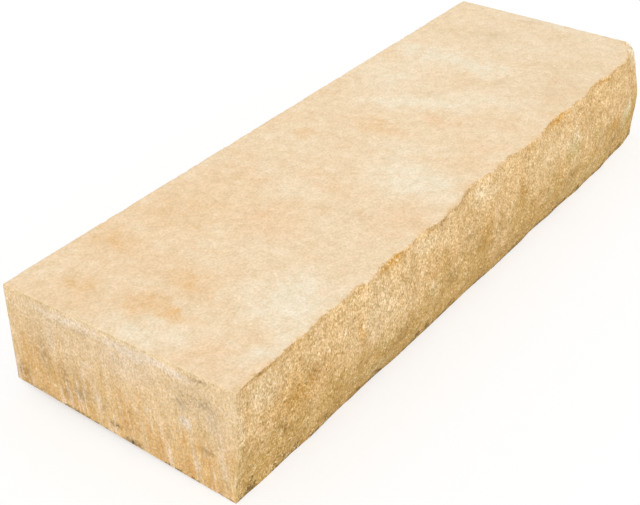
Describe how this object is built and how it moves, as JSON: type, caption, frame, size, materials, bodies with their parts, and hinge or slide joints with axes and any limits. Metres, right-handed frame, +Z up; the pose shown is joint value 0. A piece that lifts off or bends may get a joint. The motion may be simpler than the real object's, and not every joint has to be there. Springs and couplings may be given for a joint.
{
  "type": "sandstone block step",
  "caption": "Solid sandstone stair step: sawn tread, bed, back and ends, with a rock-faced riser pitched along the front arris.",
  "frame": {"origin": "on the bed, halfway along the step and halfway between the sawn back and the front line of the bed", "axes": "+X along the step, +Z up to the tread, the rock-faced riser towards -Y and the sawn back towards +Y"},
  "size_m": [1, 0.3431, 0.15],
  "materials": {
    "sandstone": "sawn tread and ends, pitched rock-face riser, warm cream to tan"
  },
  "bodies": {
    "root": {"step_block": "sandstone"}
  },
  "joints": []
}
